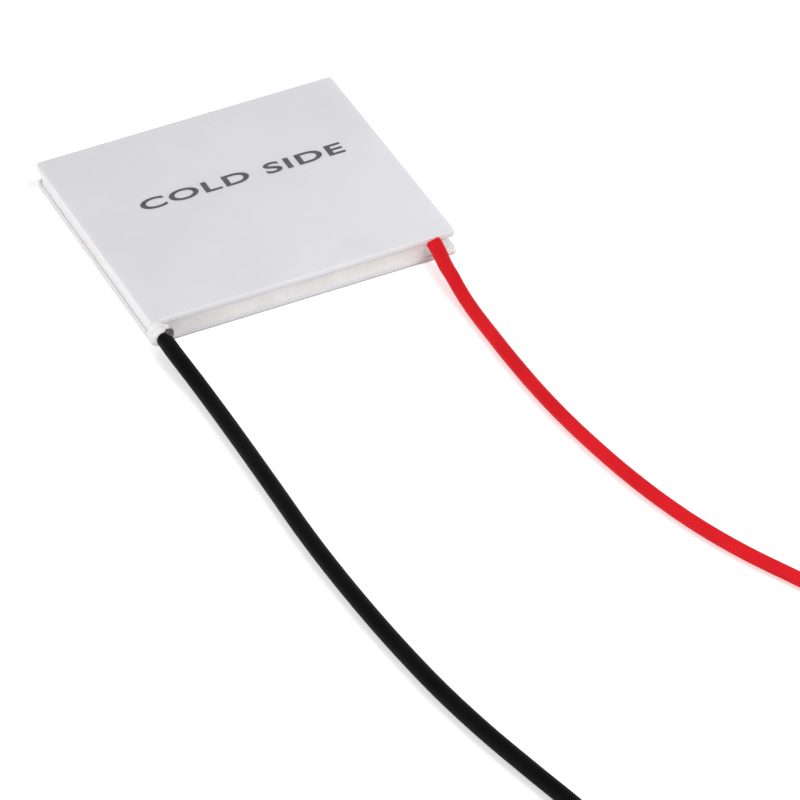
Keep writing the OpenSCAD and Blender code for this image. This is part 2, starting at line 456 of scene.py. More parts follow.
@dataclass(frozen=True)
class CeramicFinish(Finish):
    """Fired alumina: matt, nearly white, with a very fine grain and a rare dark pore."""

    light: Colour = srgb(228, 227, 231)
    dark: Colour = srgb(222, 221, 225)
    cloud_scale: float = 90.0
    grain_scale: float = 7000.0
    grain_share: float = 0.35
    roughness: float = 0.45
    spread: float = 0.13
    relief: float = 0.004 * MM
    relief_share: float = 0.6
    pore: Colour = srgb(188, 186, 183)
    pore_scale: float = 900.0
    pore_size: float = 0.06
    pore_share: float = 0.02
    # Painted shade: grey low on the outer rim, strongest at the bottom edge, stands in for the
    # shade where the plate meets the floor.
    painted_shade: Colour = srgb(150, 147, 142)
    painted_shade_strength: float = 0.0
    painted_shade_out: Pair = (19.6 * MM, 19.85 * MM)
    painted_shade_up: Pair = (0.1 * MM, 0.3 * MM)
    patch_band: Pair = (0.2, 0.6)
    patch_low: float = 0.6

    def build(self) -> Material:
        """Returns the material."""
        look, colour, grain = self.start(
            IOR=1.6, Specular_IOR_Level=0.35, Subsurface_Weight=0.5,
            Subsurface_Radius=(1.0, 1.0, 1.0), Subsurface_Scale=1.1 * MM,
        )
        pores = look.effect(
            specks(), scale=self.pore_scale, size=self.pore_size, share=self.pore_share
        )
        colour = look.weave.mix(pores.outputs["Mask"], colour, self.pore)
        # Painted shade low on the rim, where the plate meets the floor.
        if self.painted_shade_strength:
            colour = look.weave.mix(self.painted_rim_shade(look, grain), colour, self.painted_shade)
        return self.end(look, colour, grain)

    def painted_rim_shade(self, look: Shading, grain: Socket) -> Socket:
        """Finds the painted shade: grey low on the rim, where the plate meets the floor.

        Args:
            look: The shading.
            grain: The grain that makes the painted shade patchy.

        Returns:
            A mask, 1 where the painted shade is full.
        """
        weave = look.weave
        place = weave.add("ShaderNodeSeparateXYZ", {0: look.place})
        across = [weave.math("ABSOLUTE", place.outputs[k]) for k in (0, 1)]
        rim = weave.ramp(weave.math("MAXIMUM", *across), *self.painted_shade_out, 0.0, 1.0)
        low = weave.ramp(place.outputs[2], *self.painted_shade_up, self.painted_shade_strength, 0.0)
        patchy = weave.ramp(grain, *self.patch_band, self.patch_low, 1.0)
        return weave.product(rim, low, patchy)


@dataclass(frozen=True)
class SiliconeFinish(Finish):
    """Cured white sealant: soft satin, a little uneven."""

    name: str = "silicone"
    light: Colour = srgb(230, 229, 227)
    dark: Colour = srgb(223, 221, 218)
    cloud_scale: float = 420.0
    grain_scale: float = 5000.0
    grain_share: float = 0.2
    roughness: float = 0.34
    spread: float = 0.16
    relief: float = 0.02 * MM
    relief_share: float = 0.5
    wave_scale: float = 1600.0

    def build(self) -> Material:
        """Returns the material."""
        look, colour, _ = self.start(IOR=1.41, Specular_IOR_Level=0.4)
        return self.end(look, colour, look.weave.noise(look.place, self.wave_scale, 3.0))


@dataclass(frozen=True)
class InsulationFinish(Finish):
    """Extruded soft PVC: one strong colour and faint lines along it."""

    cloud_scale: float = 160.0
    grain_scale: float = 4000.0
    grain_share: float = 0.3
    roughness: float = 0.42
    spread: float = 0.1
    relief: float = 0.006 * MM
    relief_share: float = 0.5
    line_scale: float = 9.0
    line_stretch: Spot = (60.0, 1.0, 1.0)

    def build(self) -> Material:
        """Returns the material."""
        look, colour, _ = self.start(IOR=1.45, Specular_IOR_Level=0.03)
        run = look.weave.add("ShaderNodeAttribute", attribute_name="run").outputs["Vector"]
        stretched = look.weave.vector("MULTIPLY", run, self.line_stretch)
        return self.end(look, colour, look.weave.noise(stretched, self.line_scale))


@dataclass(frozen=True)
class MetalFinish(Finish):
    """A metal surface with slight tarnish and a brushed or cast grain."""

    cloud_scale: float = 700.0
    grain_scale: float = 3000.0
    grain_share: float = 0.45
    roughness: float = 0.3
    spread: float = 0.18
    relief: float = 0.008 * MM
    relief_share: float = 0.6

    def build(self) -> Material:
        """Returns the material."""
        return self.end(*self.start(Metallic=1.0))


@dataclass(frozen=True)
class CrystalFinish(MetalFinish):
    """Cut bismuth telluride: dark grey, with coarse facets."""

    grain_scale: float = 5000.0
    roughness: float = 0.42
    relief: float = 0.015 * MM


@dataclass(frozen=True)
class InkFinish(Finish):
    """Printed grey ink: matt, a little patchy where it dried thin."""

    name: str = "ink"
    light: Colour = srgb(104, 104, 110)
    dark: Colour = srgb(72, 72, 78)
    cloud_scale: float = 1400.0
    grain_scale: float = 9000.0
    grain_share: float = 0.5
    roughness: float = 0.55
    spread: float = 0.2
    relief: float = 0.0
    relief_share: float = 0.0

    def build(self) -> Material:
        """Returns the material."""
        return self.end(*self.start(Specular_IOR_Level=0.2))


class Palette:
    """Every finish of the module, built once."""

    def __init__(self) -> None:
        """Builds the materials."""
        self.cold_ceramic = CeramicFinish("cold_ceramic").build()
        # The hot plate carries painted shade low on its rim.
        self.hot_ceramic = CeramicFinish("hot_ceramic", painted_shade_strength=0.7).build()
        self.silicone = SiliconeFinish().build()
        self.dab = SiliconeFinish("dab", srgb(228, 227, 228), srgb(220, 219, 219)).build()
        self.ink = InkFinish().build()
        self.black_pvc = InsulationFinish("black_pvc", srgb(10, 10, 11), srgb(6, 6, 7)).build()
        self.red_pvc = InsulationFinish("red_pvc", srgb(215, 31, 39), srgb(203, 26, 35)).build()
        metals = (
            MetalFinish("tinned", srgb(205, 205, 208), srgb(165, 165, 170), roughness=0.28),
            MetalFinish("solder", srgb(176, 178, 182), srgb(120, 122, 126), roughness=0.36),
            MetalFinish("copper", srgb(205, 133, 96), srgb(166, 96, 66), roughness=0.34),
            # Dark grey solder: painted shade beside the black lead, and a painted highlight where
            # it lies on the lead's top.
            MetalFinish(
                "spilt_solder", srgb(116, 116, 118), srgb(62, 62, 66), roughness=0.45,
                grain_scale=2200.0, relief=0.03 * MM,
            ),
            CrystalFinish("p_crystal", srgb(112, 112, 118), srgb(72, 72, 78)),
            CrystalFinish("n_crystal", srgb(136, 136, 138), srgb(92, 92, 96)),
        )
        self.metals = {finish.name: finish.build() for finish in metals}

    def for_slot(self, slot: str) -> Material:
        """Finds the material of a CAD node's slot.

        Args:
            slot: The slot's name.

        Returns:
            The material.
        """
        return {
            "alumina": self.hot_ceramic,
            "silicone": self.silicone,
            "copper": self.metals["copper"],
            "solder": self.metals["solder"],
            "p_bismuth_telluride": self.metals["p_crystal"],
            "n_bismuth_telluride": self.metals["n_crystal"],
            "tinned_copper": self.metals["tinned"],
            "black_insulation": self.black_pvc,
            "red_insulation": self.red_pvc,
        }[slot]


# ---------------- geometry trees


class Growth:
    """A geometry tree in the making: its weave and its inputs."""

    def __init__(self, name: str, **inputs: Any) -> None:
        """Starts the tree.

        Args:
            name: The tree's name.
            **inputs: Each input's first value or kind of socket, with an underscore for
                each space in its name.
        """
        named = {key.replace("_", " ").title(): value for key, value in inputs.items()}
        ends = {"Geometry": "Geometry"}
        self.weave, self.given, self.last = open_group(
            name, "GeometryNodeTree", {**ends, **named, "Material": "Material"}, ends
        )

    def end(self, geometry: Socket) -> Tree:
        """Ends the tree: instances become real and take the material.

        Args:
            geometry: What the tree has made.

        Returns:
            The tree.
        """
        feeds = {0: self.weave.first("GeometryNodeRealizeInstances", {0: geometry})}
        feeds["Material"] = self.given["Material"]
        self.weave.feed(self.last.inputs[0], self.weave.first("GeometryNodeSetMaterial", feeds))
        return self.weave.tree


def tube_tree() -> Tree:
    """Builds the tree that sweeps a round tube along a curve.

    Returns:
        The tree. Its mesh keeps the distance along and the turn around in "run".
    """
    growth = Growth(
        "swept_tube", radius=1.05 * MM, sides=32, length=0.144, end_rounding=0.25 * MM,
        end_share=0.86, flare=0.0, flare_reach=14 * MM,
    )
    weave, given = growth.weave, growth.given
    along = weave.add("GeometryNodeSplineParameter").outputs["Length"]
    path = weave.store(given["Geometry"], "along", along)
    size = {"Resolution": given["Sides"], "Radius": given["Radius"]}
    ring = weave.first("GeometryNodeCurvePrimitiveCircle", size)
    turn = weave.add("GeometryNodeSplineParameter").outputs["Factor"]
    ring = weave.store(ring, "turn", turn)
    edge = weave.math("MINIMUM", along, weave.math("SUBTRACT", given["Length"], along))
    rounded = weave.ramp(edge, 0.0, given["End Rounding"], given["End Share"], 1.0)
    flared = weave.ramp(along, 0.0, given["Flare Reach"], given["Flare"], 0.0)
    scale = weave.math("ADD", rounded, flared)
    sweep = {"Curve": path, "Profile Curve": ring, "Scale": scale, "Fill Caps": True}
    mesh = weave.first("GeometryNodeCurveToMesh", sweep)
    angle = weave.product(weave.read("turn"), FULL_TURN)
    run = weave.point(weave.read("along"), weave.math("COSINE", angle), weave.math("SINE", angle))
    return growth.end(weave.store(mesh, "run", run, "FLOAT_VECTOR"))


def strand_tree() -> Tree:
    """Builds the tree that lays nineteen twisted strands along -Y.

    Returns:
        The tree. One strand is the core, six lie round it and twelve round those.
    """
    strands, steps, sides = 19, 40, 10
    past_core, past_inner, per_layer = 0.5, 6.5, 6.0
    layer_step = 1.96
    growth = Growth(
        "stranded_wire", start="Vector", length=6 * MM, strand_radius=0.08 * MM, lay=16 * MM
    )
    weave, given = growth.weave, growth.given
    line = weave.first("GeometryNodeCurvePrimitiveLine")
    line = weave.first("GeometryNodeResampleCurve", {"Curve": line, "Count": steps})
    bundle = {"Geometry": line, "Amount": strands}
    copies = weave.add("GeometryNodeDuplicateElements", bundle, domain="SPLINE")
    index = copies.outputs["Duplicate Index"]
    outside = [weave.math("GREATER_THAN", index, last) for last in (past_core, past_inner)]
    layer = weave.math("ADD", *outside)
    in_layer = weave.math("MAXIMUM", weave.product(layer, per_layer), 1.0)
    share = weave.add("GeometryNodeSplineParameter").outputs["Factor"]
    down = weave.product(share, given["Length"])
    place = weave.product(weave.math("DIVIDE", index, in_layer), FULL_TURN)
    twist = weave.product(weave.math("DIVIDE", down, given["Lay"]), FULL_TURN)
    angle = weave.math("ADD", place, twist)
    reach = weave.product(layer, given["Strand Radius"], layer_step)
    spot = weave.point(
        weave.product(weave.math("COSINE", angle), reach),
        weave.product(down, -1.0),
        weave.product(weave.math("SINE", angle), reach),
    )
    spots = weave.vector("ADD", spot, given["Start"])
    laid = weave.first(
        "GeometryNodeSetPosition", {"Geometry": copies.outputs["Geometry"], "Position": spots}
    )
    size = {"Resolution": sides, "Radius": given["Strand Radius"]}
    ring = weave.first("GeometryNodeCurvePrimitiveCircle", size)
    sweep = {"Curve": laid, "Profile Curve": ring, "Fill Caps": True}
    return growth.end(weave.first("GeometryNodeCurveToMesh", sweep))


def rim_tree() -> Tree:
    """Builds the tree that roughens a rim or bead along its own outward push.

    The mesh brings "push", the way out and how freely a point moves, "run", the distance
    round the rim, and "notch", how deep the scribe marks go there.

    Returns:
        The tree.
    """
    mark_band, middle, detail = (-0.2, 0.9), 0.5, 3.0
    growth = Growth(
        "worked_rim", wave_scale=500.0, wave_depth=0.05 * MM, fine_scale=5000.0,
        fine_depth=0.01 * MM, notch_pitch=0.2 * MM, notch_depth=0.0, seed=0.0,
    )
    weave, given = growth.weave, growth.given
    shift = weave.point(0.0, 0.0, given["Seed"])
    place = weave.vector("ADD", weave.first("GeometryNodeInputPosition"), shift)
    moves = []
    for kind in ("Wave", "Fine"):
        field = weave.noise(place, given[f"{kind} Scale"], detail)
        level = weave.math("SUBTRACT", field, middle)
        moves.append(weave.product(level, weave.product(given[f"{kind} Depth"], 2.0)))
    turns = weave.math("DIVIDE", weave.read("run"), given["Notch Pitch"])
    pulse = weave.math("COSINE", weave.product(turns, FULL_TURN))
    mark = weave.ramp(pulse, *mark_band, 0.0, given["Notch Depth"])
    cut = weave.product(mark, weave.read("notch"))
    move = weave.math("SUBTRACT", weave.math("ADD", *moves), cut)
    offset = weave.scaled(weave.read("push", "FLOAT_VECTOR"), move)
    feeds = {"Geometry": given["Geometry"], "Offset": offset}
    return growth.end(weave.first("GeometryNodeSetPosition", feeds))


@dataclass(frozen=True)
class Trees:
    """The geometry trees, built once."""

    tube: Tree
    strand: Tree
    rim: Tree


# ---------------- meshes along a loop


@dataclass(frozen=True)
class RoundedLoop:
    """A rectangle with round corners, seen from above, run through evenly."""

    left: float
    right: float
    front: float
    back: float
    front_r: float
    back_r: float

    def points(self, pitch: float) -> tuple[np.ndarray, np.ndarray, np.ndarray]:
        """Runs round the loop from the front left, against the clock.

        Args:
            pitch: Distance between points.

        Returns:
            Points, outward directions and distances along, one row each.
        """
        f, b = self.front_r, self.back_r
        quarter = math.pi / 2
        legs = [
            ((self.left + f, self.front), (1, 0), self.right - self.left - 2 * f, None, 0.0),
            ((self.right - f, self.front + f), None, f * quarter, -quarter, f),
            ((self.right, self.front + f), (0, 1), self.back - self.front - f - b, None, 0.0),
            ((self.right - b, self.back - b), None, b * quarter, 0.0, b),
            ((self.right - b, self.back), (-1, 0), self.right - self.left - 2 * b, None, 0.0),
            ((self.left + b, self.back - b), None, b * quarter, quarter, b),
            ((self.left, self.back - b), (0, -1), self.back - self.front - f - b, None, 0.0),
            ((self.left + f, self.front + f), None, f * quarter, math.pi, f),
        ]
        spots, outs, runs, done = [], [], [], 0.0
        for start, way, length, angle, radius in legs:
            steps = max(2, round(length / pitch))
            for step in range(steps):
                s = length * step / steps
                if way is None:
                    turn = angle + s / radius
                    out = (math.cos(turn), math.sin(turn))
                    spot = (start[0] + radius * out[0], start[1] + radius * out[1])
                else:
                    out = (way[1], -way[0])
                    spot = (start[0] + s * way[0], start[1] + s * way[1])
                spots.append(spot)
                outs.append(out)
                runs.append(done + s)
            done += length
        return np.array(spots), np.array(outs), np.array(runs)


@dataclass(frozen=True)
class ProfileRow:
    """One line round a rim: how far out it is, its height, and how freely it moves."""

    out: float
    height: float
    push: float = 0.0
    notch: float = 0.0


@dataclass(frozen=True)
class RimMesh:
    """A mesh of rows that run round a loop, capped or closed on itself."""

    name: str
    loop: RoundedLoop
    rows: Sequence[ProfileRow]

    def build(self, pitch: float, capped: bool) -> Object:
        """Builds the mesh with its push, run and notch attributes.

        Args:
            pitch: Distance between points along the loop.
            capped: True to close the first and the last row with a flat face each, False
                to join the last row back to the first.

        Returns:
            The object.
        """
        spots, outs, runs = self.loop.points(pitch)
        count = len(spots)
        verts, push, run, notch = [], [], [], []
        for row in self.rows:
            flat = spots + outs * row.out
            verts.append(np.c_[flat, np.full(count, row.height)])
            push.append(np.c_[outs, np.zeros(count)] * row.push)
            run.append(runs)
            notch.append(np.full(count, row.notch))
        here = np.arange(count)
        onward = (here + 1) % count
        faces: list[list[int]] = []
        last = len(self.rows) - 1
        for level in range(last if capped else last + 1):
            a = level * count
            b = (level + 1) % len(self.rows) * count
            faces += np.c_[here + a, here + b, onward + b, onward + a].tolist()
        if capped:
            faces.append(here.tolist())
            faces.append((here[::-1] + last * count).tolist())
        mesh = bpy.data.meshes.new(self.name)
        mesh.from_pydata(np.vstack(verts).tolist(), [], faces)
        for label, kind, key, values in (
            ("push", "FLOAT_VECTOR", "vector", np.vstack(push)),
            ("run", "FLOAT", "value", np.concatenate(run)),
            ("notch", "FLOAT", "value", np.concatenate(notch)),
        ):
            attribute = mesh.attributes.new(label, kind, "POINT")
            attribute.data.foreach_set(key, values.astype(np.float32).ravel())
        mesh.update()
        return linked(self.name, mesh)

# ---------------- leads


@dataclass(frozen=True)
class ObliqueCut:
    """A slanted cut through the start of a lead's insulation, which swells a little there.

    The first stretch also rises by lift and eases sideways by sway.
    """

    spot: Spot
    along: Spot
    spare: float = 2.4 * MM
    flare: float = 0.12
    lift: float = 0.5 * MM
    lift_reach: float = 5 * MM
    sway: float = 0.26 * MM
    sway_reach: float = 7 * MM

    def lifted(self, line: Sequence[Vector]) -> list[Vector]:
        """Bends a lead's first stretch up and eases it sideways.

        Args:
            line: The lead's middle line.

        Returns:
            The bent line.
        """
        raised = []
        for spot in line:
            out = line[0].y - spot.y
            up = self.lift * (1 - min(out / self.lift_reach, 1.0)) ** 2
            aside = self.sway * math.sin(math.pi * min(out / self.sway_reach, 1.0)) ** 2
            raised.append(spot + Vector((-aside, 0, up)))
        return raised

    def apply(self, mesh: bpy.types.Mesh) -> None:
        """Cuts off what lies behind the slant and closes the tube there.

        Args:
            mesh: The insulation.
        """
        shape = bmesh.new()
        shape.from_mesh(mesh)
        parts = [*shape.verts, *shape.edges, *shape.faces]
        cut = bmesh.ops.bisect_plane(
            shape, geom=parts, plane_co=self.spot, plane_no=self.along, clear_inner=True
        )
        rim = [part for part in cut["geom_cut"] if isinstance(part, bmesh.types.BMEdge)]
        bmesh.ops.contextual_create(shape, geom=rim)
        bmesh.ops.recalc_face_normals(shape, faces=shape.faces)
        shape.to_mesh(mesh)
        shape.free()


@dataclass(frozen=True)
class SealDrop:
    """A dab of silicone or solder at a lead's start, let a little into the plates' edge.

    Eggs are what it grows together from: each one's middle (x, y, z) and half sizes
    (x, y, z), in millimetres.
    """

    eggs: tuple[tuple[float, ...], ...]
    ripple: float = 0.05 * MM
    ripple_scale: float = 900.0
    fine_share: float = 0.35
    fine_ratio: float = 3.1
    seed: float = 0.0
    voxel: float = 0.07 * MM
    easing: int = 12
    inner: float = -19.7 * MM
    sharp_angle: float = 70.0

    def build(self, name: str, finish: Material) -> Object:
        """Builds the drop: its eggs grow together and ripple a little.

        Args:
            name: The object's name.
            finish: Its material.

        Returns:
            The object.
        """
        shape = bmesh.new()
        for row in self.eggs:
            egg = [value * MM for value in row]
            place = Matrix.Translation(egg[:3]) @ Matrix.Diagonal((*egg[3:], 1.0))
            bmesh.ops.create_icosphere(shape, subdivisions=4, radius=1.0, matrix=place)
        mesh = bpy.data.meshes.new(name)
        shape.to_mesh(mesh)
        shape.free()
        blank = linked(name, mesh)
        skin = blank.modifiers.new("skin", "REMESH")
        skin.mode = "VOXEL"
        skin.voxel_size = self.voxel
        ease = blank.modifiers.new("ease", "SMOOTH")
        ease.iterations = self.easing
        merged = evaluated(blank)
        bpy.data.objects.remove(blank)
        for vert in merged.vertices:
            here = vert.co * self.ripple_scale + Vector((self.seed, 0, 0))
            swell = noise.noise(here) + self.fine_share * noise.noise(here * self.fine_ratio)
            vert.co += vert.normal * self.ripple * swell
            vert.co.y = min(vert.co.y, self.inner)
            vert.co.z = max(vert.co.z, 0.0)
        obj = finished(name, merged, finish)
        smooth(obj, self.sharp_angle)
        return obj


@dataclass(frozen=True)
class Lead:
    """One lead: its swept insulation, its stranded ends and the silicone at its start.

    Wire_x is its wire's side-to-side place between the plates. Start says where its
    insulation starts: to the side of the wire, out from the plates' front edge, and above
    the wire. Floor is its way along the surface. Cut is the slant that its
    insulation was cut at, None for a square cut.
    """

    name: str
    radius: float
    wire_x: float
    start: Spot
    floor: Sequence[Pair]
    drop: SealDrop
    cut: ObliqueCut | None = None
    wire_z: float = 1.65 * MM
    plate_front: float = -20 * MM
    joint_back: float = -16.225 * MM
    straight: float = 3 * MM
    settle: float = 12 * MM
    tip: float = 6 * MM
    insulated: float = 0.144
    sides: int = 36

    def route(self) -> list[Vector]:
        """Returns the points that the lead runs through, from its start."""
        x, start_y = self.wire_x + self.start[0], self.plate_front - self.start[1]
        first = self.wire_z + self.start[2]
        points = []
        for x, y in ((x, start_y), (x, start_y - self.straight), *self.floor):
            t = min(max((start_y - y - self.straight) / self.settle, 0.0), 1.0)
            points.append(Vector((x, y, first - (first - self.radius) * t * t * (3 - 2 * t))))
        return points

    def centreline(self, steps: int = 16) -> list[Vector]:
        """Draws the smooth curve through the route.

        Args:
            steps: Points in each span.

        Returns:
            The curve's points.
        """
        route = self.route()
        slopes = [(b - a) / 2 for a, b in zip(route, route[2:])]
        slopes = [route[1] - route[0], *slopes, route[-1] - route[-2]]
        line = []
        for k in range(len(route) - 1):
            for step in range(steps):
                t = step / steps
                line.append(
                    (2 * t**3 - 3 * t**2 + 1) * route[k]
                    + (t**3 - 2 * t**2 + t) * slopes[k]
                    + (3 * t**2 - 2 * t**3) * route[k + 1]
                    + (t**3 - t**2) * slopes[k + 1]
                )
        return [*line, route[-1]]

    def build_insulation(self, tree: Tree, finish: Material) -> Object:
        """Sweeps the insulation along the route.

        Args:
            tree: The tree that sweeps a tube.
            finish: The insulation's material.

        Returns:
            The insulation.
        """
        line = self.centreline()
        if self.cut:
            line = self.cut.lifted(line)
            line = [line[0] + Vector((0, self.cut.spare, 0)), *line]
        data = bpy.data.curves.new(self.name, "CURVE")
        data.dimensions = "3D"
        spline = data.splines.new("POLY")
        spline.points.add(len(line) - 1)
        for point, spot in zip(spline.points, line):
            point.co = (*spot, 1.0)
        length = sum((b - a).length for a, b in zip(line, line[1:]))
        obj = grow(
            linked(f"{self.name}_insulation", data), tree, radius=self.radius,
            sides=self.sides, length=length, flare=self.cut.flare if self.cut else 0.0,
            material=finish,
        )
        if self.cut:
            self.cut.apply(obj.data)
        smooth(obj)
        return obj

    def build_wires(self, tree: Tree, finish: Material) -> list[Object]:
        """Lays the strands past the far end and those between the plates, along -Y.

        Args:
            tree: The tree that lays strands.
            finish: Their material.

        Returns:
            Both lengths.
        """
        joint = Vector((self.wire_x, self.joint_back, self.wire_z))
        wires = []
        for label, start, length in (
            ("strands", self.route()[-1], self.tip),
            ("inner_strands", joint, self.joint_back - self.plate_front + self.start[1]),
        ):
            blank = linked(f"{self.name}_{label}", bpy.data.meshes.new(label))
            wires.append(grow(blank, tree, start=start, length=length, material=finish))
            smooth(wires[-1])
        return wires

    def build(self, trees: Trees, palette: Palette) -> None:
        """Args:
            trees: The geometry trees.
            palette: The finishes.
        """
        finish = palette.red_pvc if self.name.startswith("red") else palette.black_pvc
        insulation = self.build_insulation(trees.tube, finish)
        tip, inner = self.build_wires(trees.strand, palette.metals["tinned"])
        seal = self.drop.build(f"{self.name}_drop", palette.dab)
        for piece, node, slot in (
            (insulation, self.name, f"{self.name.split('_')[0]}_insulation"),
            (tip, f"{self.name}_tip", "tinned_copper"),
            (inner, f"{self.name}_conductor", "tinned_copper"),
            (seal, f"{self.name}_seal", "silicone"),
        ):
            settle(piece, slot, node)


# ---------------- plates, bead and mark


class Side(Enum):
    """The two faces of the module."""

    HOT = "hot_plate"
    COLD = "cold_plate"


@dataclass(frozen=True)
class WorkedPiece:
    """A piece with an uneven rim: how finely it is built and how uneven it is."""

    pitch: float
    wave_scale: float
    wave_depth: float
    fine_scale: float
    fine_depth: float
    notch_depth: float
    sharp_angle: float
    seed: float

    def work(self, blank: RimMesh, capped: bool, tree: Tree, finish: Material) -> Object:
        """Builds a rim and makes it uneven.

        Args:
            blank: The even rim.
            capped: Whether its first and last rows get a flat face.
            tree: The tree that roughens a rim.
            finish: The piece's material.

        Returns:
            The piece.
        """
        piece = grow(
            blank.build(self.pitch, capped), tree, wave_scale=self.wave_scale,
            wave_depth=self.wave_depth, fine_scale=self.fine_scale,
            fine_depth=self.fine_depth, notch_depth=self.notch_depth, seed=self.seed,
            material=finish,
        )
        smooth(piece, self.sharp_angle)
        return piece


@dataclass(frozen=True)
class Plate(WorkedPiece):
    """A ceramic plate, scribed on its outer face and snapped out of a larger sheet."""

    pitch: float = 0.05 * MM
    wave_scale: float = 260.0
    wave_depth: float = 0.03 * MM
    fine_scale: float = 4200.0
    fine_depth: float = 0.016 * MM
    notch_depth: float = 0.03 * MM
    sharp_angle: float = 60.0
    seed: float = 0.3
    side: Side = Side.COLD
    corner_r: float = 0.6 * MM
    low_break: float = 0.12 * MM
    high_break: float = 0.07 * MM
    scribe_depth: float = 0.3 * MM
    scribe_step: float = 0.02 * MM

    def rows(self, low: float, high: float) -> list[ProfileRow]:
        """Draws the rim's section.

        Args:
            low: Height of the lower face.
            high: Height of the upper face.

        Returns:
            The rows, from the lower face to the upper one.
        """
        a, b, step = self.low_break, self.high_break, self.scribe_step
        parts, inset, cut_back = 3, 3, 0.3
        face_moves, break_moves = 0.2, 0.6
        outer_up = self.side is Side.COLD
        scribed = 1.0 if outer_up else 0.0
        snapped = 1.0 - scribed
        middle = high - self.scribe_depth if outer_up else low + self.scribe_depth
        return [
            ProfileRow(-inset * a, low),
            ProfileRow(-a, low, face_moves),
            ProfileRow(-cut_back * a, low + cut_back * a, break_moves, cut_back * snapped),
            *(
                ProfileRow(0, low + a + (middle - step - low - a) * k / parts, 1.0, snapped)
                for k in range(parts + 1)
            ),
            *(
                ProfileRow(0, middle + step + (high - b - middle - step) * k / parts, 1.0, scribed)
                for k in range(parts + 1)
            ),
            ProfileRow(-cut_back * b, high - cut_back * b, break_moves, cut_back * scribed),
            ProfileRow(-b, high, face_moves),
            ProfileRow(-inset * b, high),
        ]

    def build(self, tree: Tree, finish: Material) -> None:
        """Builds the plate over its CAD node.

        Args:
            tree: The tree that roughens a rim.
            finish: The plate's material.
        """
        low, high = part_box(self.side.value)
        loop = RoundedLoop(low.x, high.x, low.y, high.y, self.corner_r, self.corner_r)
        name = f"{self.side.value}_ceramic"
        blank = RimMesh(name, loop, self.rows(low.z, high.z)[::-1])
        settle(self.work(blank, True, tree, finish), "alumina", self.side.value)


@dataclass(frozen=True)
class SealBead(WorkedPiece):
    """The silicone bead that closes the gap between the plates all the way round."""

    pitch: float = 0.12 * MM
    wave_scale: float = 330.0
    wave_depth: float = 0.12 * MM
    fine_scale: float = 1900.0
    fine_depth: float = 0.03 * MM
    notch_depth: float = 0.0
    sharp_angle: float = 50.0
    seed: float = 1.9
    depth: float = 0.8 * MM
    hollow: float = 0.08 * MM
    tuck: float = 0.03 * MM
    left_more: float = 0.45 * MM
    right_more: float = 0.1 * MM
    front_more: float = 0.08 * MM
    back_more: float = 0.25 * MM
    front_r: float = 1.7 * MM
    back_r: float = 0.85 * MM
    levels: int = 10
    held: float = 0.6

    def rows(self, low: float, high: float) -> list[ProfileRow]:
        """Draws the bead's section.

        Args:
            low: Height of the solid bead's foot.
            high: Height of its top.

        Returns:
            The rows: the hollow outer face, then back along the inside.
        """
        rows = []
        for k in range(self.levels + 1):
            t = 2 * k / self.levels - 1
            z = (low + high) / 2 + t * ((high - low) / 2 + self.tuck)
            rows.append(ProfileRow(-self.hollow * (1 - t * t), z, 1 - self.held * t**6))
        rows.append(ProfileRow(-self.depth, high + self.tuck))
        rows.append(ProfileRow(-self.depth, low - self.tuck))
        return rows

    def build(self, tree: Tree, finish: Material) -> None:
        """Builds the bead over its CAD node.

        Args:
            tree: The tree that roughens a rim.
            finish: The bead's material.
        """
        low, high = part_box("edge_sealant")
        loop = RoundedLoop(
            low.x - self.left_more, high.x + self.right_more,
            low.y - self.front_more, high.y + self.back_more,
            self.front_r, self.back_r,
        )
        blank = RimMesh("edge_sealant_bead", loop, self.rows(low.z, high.z)[::-1])
        settle(self.work(blank, False, tree, finish), "silicone", "edge_sealant")


@dataclass(frozen=True)
class SideMark:
    """The printed mark that tells the cold side, in plain wide capitals."""

    name: str = "cold_side_mark"
    words: str = "COLD SIDE"
    cap_height: float = 2.5 * MM
    width: float = 27 * MM
    middle: Pair = (1.6 * MM, 4.2 * MM)
    thickness: float = 0.012 * MM
    lifted: float = 0.3
    boldness: float = 0.022
    spacing: float = 1.12

    def build(self, finish: Material) -> None:
        """Builds the mark on the cold plate.

        Args:
            finish: The ink.
        """
        text = bpy.data.curves.new("mark", "FONT")
        text.body = self.words
        text.align_x = "CENTER"
        text.align_y = "CENTER"
        text.extrude = 0.5
        text.offset = self.boldness
        text.space_character = self.spacing
        blank = linked(self.name, text)
        mesh = evaluated(blank)
        bpy.data.objects.remove(blank)
        spots = np.array([v.co for v in mesh.vertices])
        low, high = spots.min(0), spots.max(0)
        sizes = (self.width, self.cap_height, self.thickness)
        scale = [size / span for size, span in zip(sizes, high - low)]
        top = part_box(Side.COLD.value)[1].z
        centre = Vector((*self.middle, top + self.lifted * self.thickness))
        mesh.transform(
            Matrix.Translation(centre)
            @ Matrix.Diagonal((*scale, 1.0))
            @ Matrix.Translation(-Vector((low + high) / 2))
        )
        settle(finished(self.name, mesh, finish), "alumina")


# ---------------- studio


